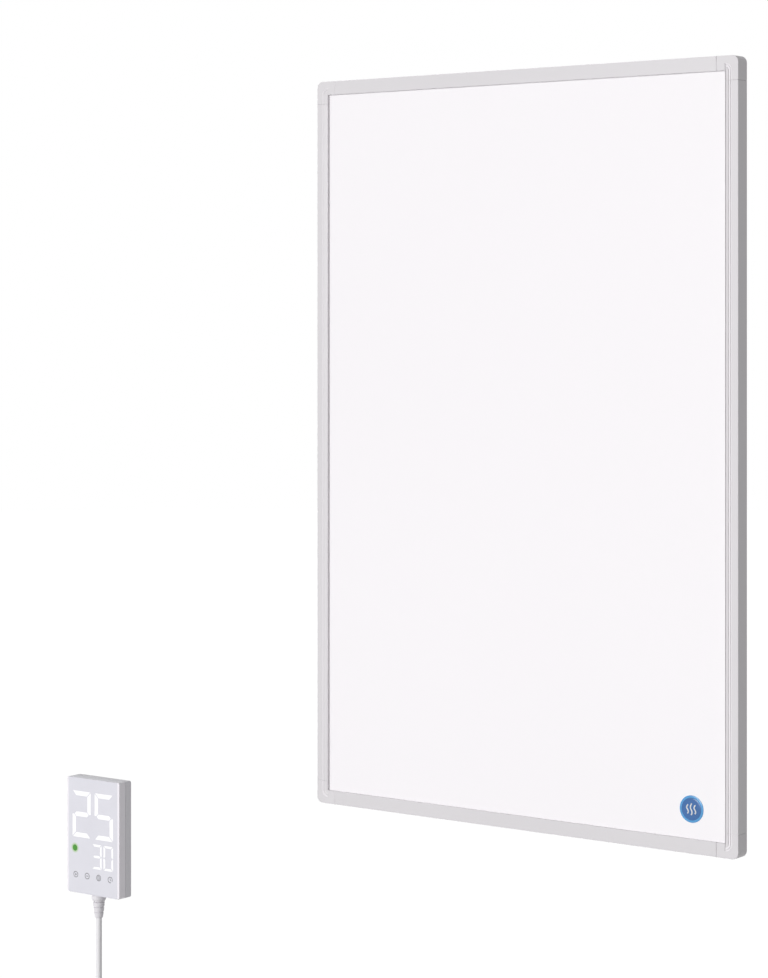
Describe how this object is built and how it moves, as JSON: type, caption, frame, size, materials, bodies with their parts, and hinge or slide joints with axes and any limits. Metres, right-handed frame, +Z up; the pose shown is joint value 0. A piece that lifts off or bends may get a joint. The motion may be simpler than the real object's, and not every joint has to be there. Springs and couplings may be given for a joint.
{
  "type": "infrared panel heater",
  "caption": "Slim white wall-hung infrared panel heater with corner-capped frame rails, rear hanging brackets and junction box, and a corded controller with a lit display.",
  "frame": {"origin": "centre of the four wall keyholes, on the wall plane, behind the middle of the panel", "axes": "+X to the right seen from the front, +Y into the wall, +Z up; the heater faces -Y"},
  "size_m": [1.049, 0.044, 1.41],
  "materials": {
    "frame_paint": "satin powder coat",
    "plate_paint": "matt fine-grained powder coat",
    "cap_plastic": "fine moulded texture",
    "zinc_steel": "zinc plated",
    "cover_steel": "hot-dip galvanised sheet",
    "carbon_film": "laminated carbon film",
    "copper": "bare copper foil",
    "mineral_fibre": "fibre mat",
    "box_plastic": "spark-eroded texture",
    "block_plastic": "plain moulded",
    "cutout_case": "phenolic",
    "wire_sleeve": "silicone insulation",
    "gland_plastic": "moulded nylon",
    "shell_plastic": "semi-gloss moulded",
    "figure_light": "lit white diffuser",
    "lamp_green": "lit green diffuser",
    "board_laminate": "solder resist",
    "component_black": "moulded",
    "sensor_bead": "dipped epoxy",
    "spring_steel": "plated spring steel",
    "lead_sleeve": "smooth flexible sleeve",
    "tie_fabric": "hook and loop",
    "plug_plastic": "soft moulded",
    "pin_metal": "nickel plated"
  },
  "bodies": {
    "root": {"busbar_left": "copper", "busbar_right": "copper", "carbon_heating_film": "carbon_film", "control_lead": "lead_sleeve", "controller_board": "board_laminate", "controller_front_shell": "shell_plastic", "controller_rear_shell": "shell_plastic", "controller_shell_screws": "zinc_steel", "corner_cap_bottom_left": "cap_plastic", "corner_cap_bottom_right": "cap_plastic", "corner_cap_top_left": "cap_plastic", "corner_cap_top_right": "cap_plastic", "corner_screws": "zinc_steel", "cutout_wire": "wire_sleeve", "frame_rail_bottom": "frame_paint", "frame_rail_left": "frame_paint", "frame_rail_right": "frame_paint", "frame_rail_top": "frame_paint", "hanger_bracket_bottom_left": "zinc_steel", "hanger_bracket_bottom_right": "zinc_steel", "hanger_bracket_top_left": "zinc_steel", "hanger_bracket_top_right": "zinc_steel", "hanger_screws": "zinc_steel", "heater_wire_left": "wire_sleeve", "heater_wire_right": "wire_sleeve", "heating_plate": "plate_paint", "insulation_pad": "mineral_fibre", "junction_box_base": "box_plastic", "junction_box_lid": "box_plastic", "junction_lid_screws": "zinc_steel", "lead_coil": "lead_sleeve", "lead_tail": "lead_sleeve", "lead_tie": "tie_fabric", "mains_gland_body": "gland_plastic", "mains_gland_cap_nut": "gland_plastic", "mains_gland_lock_nut": "gland_plastic", "overheat_cutout": "cutout_case", "plug_body": "plug_plastic", "plug_earth_clips": "pin_metal", "plug_pins": "pin_metal", "power_converter": "component_black", "rear_cover": "cover_steel", "relay": "component_black", "room_sensor": "sensor_bead", "status_light_guide": "lamp_green", "strain_relief": "lead_sleeve", "temperature_light_guide": "figure_light", "terminal_block": "block_plastic", "terminal_screws": "zinc_steel", "timer_light_guide": "figure_light", "touch_pads": "spring_steel"}
  },
  "joints": []
}
